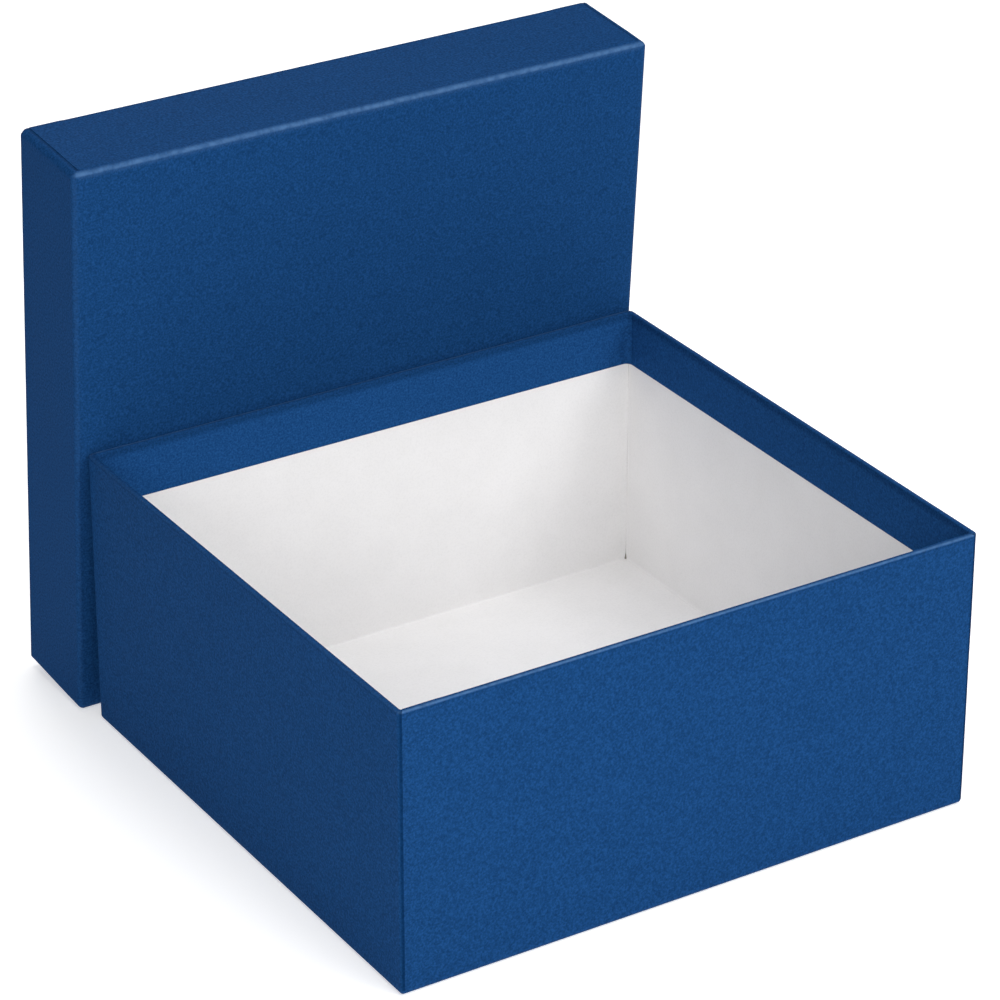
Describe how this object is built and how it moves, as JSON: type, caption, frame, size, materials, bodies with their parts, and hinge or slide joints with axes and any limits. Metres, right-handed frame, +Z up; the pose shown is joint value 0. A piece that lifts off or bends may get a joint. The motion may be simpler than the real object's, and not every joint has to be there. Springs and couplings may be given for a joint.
{
  "type": "rigid gift box",
  "caption": "Rigid cardboard gift box: an open base tray wrapped in blue paper and lined in white, with its lift-off lid leaning upright behind it.",
  "frame": {"origin": "centre of the base tray's underside, on the surface it stands on", "axes": "+Z up, +Y towards the leaning lid, +X to the right along the base's long walls when seen from the front"},
  "size_m": [0.2344, 0.2616, 0.2206],
  "materials": {
    "greyboard": "matt pressed grey board",
    "stay_tape": "matt gummed kraft tape",
    "blue_paper": "satin fine-grained dyed paper",
    "white_paper": "matt smooth white paper"
  },
  "bodies": {
    "base": {"base_board_bottom": "greyboard", "base_board_front": "greyboard", "base_board_back": "greyboard", "base_board_left": "greyboard", "base_board_right": "greyboard", "base_stay_front_left": "stay_tape", "base_stay_front_right": "stay_tape", "base_stay_back_left": "stay_tape", "base_stay_back_right": "stay_tape", "base_wrap_bottom": "blue_paper", "base_wrap_front": "blue_paper", "base_wrap_back": "blue_paper", "base_wrap_left": "blue_paper", "base_wrap_right": "blue_paper", "base_liner": "white_paper"},
    "lid": {"lid_board_top": "greyboard", "lid_board_front": "greyboard", "lid_board_back": "greyboard", "lid_board_left": "greyboard", "lid_board_right": "greyboard", "lid_stay_front_left": "stay_tape", "lid_stay_front_right": "stay_tape", "lid_stay_back_left": "stay_tape", "lid_stay_back_right": "stay_tape", "lid_wrap_top": "blue_paper", "lid_wrap_front": "blue_paper", "lid_wrap_back": "blue_paper", "lid_wrap_left": "blue_paper", "lid_wrap_right": "blue_paper", "lid_liner": "white_paper"}
  },
  "joints": [
    {"name": "lid_lift", "type": "slide", "parent": "base", "child": "lid", "axis": [0, 0, 1], "range_m": [0, 0.13]}
  ]
}
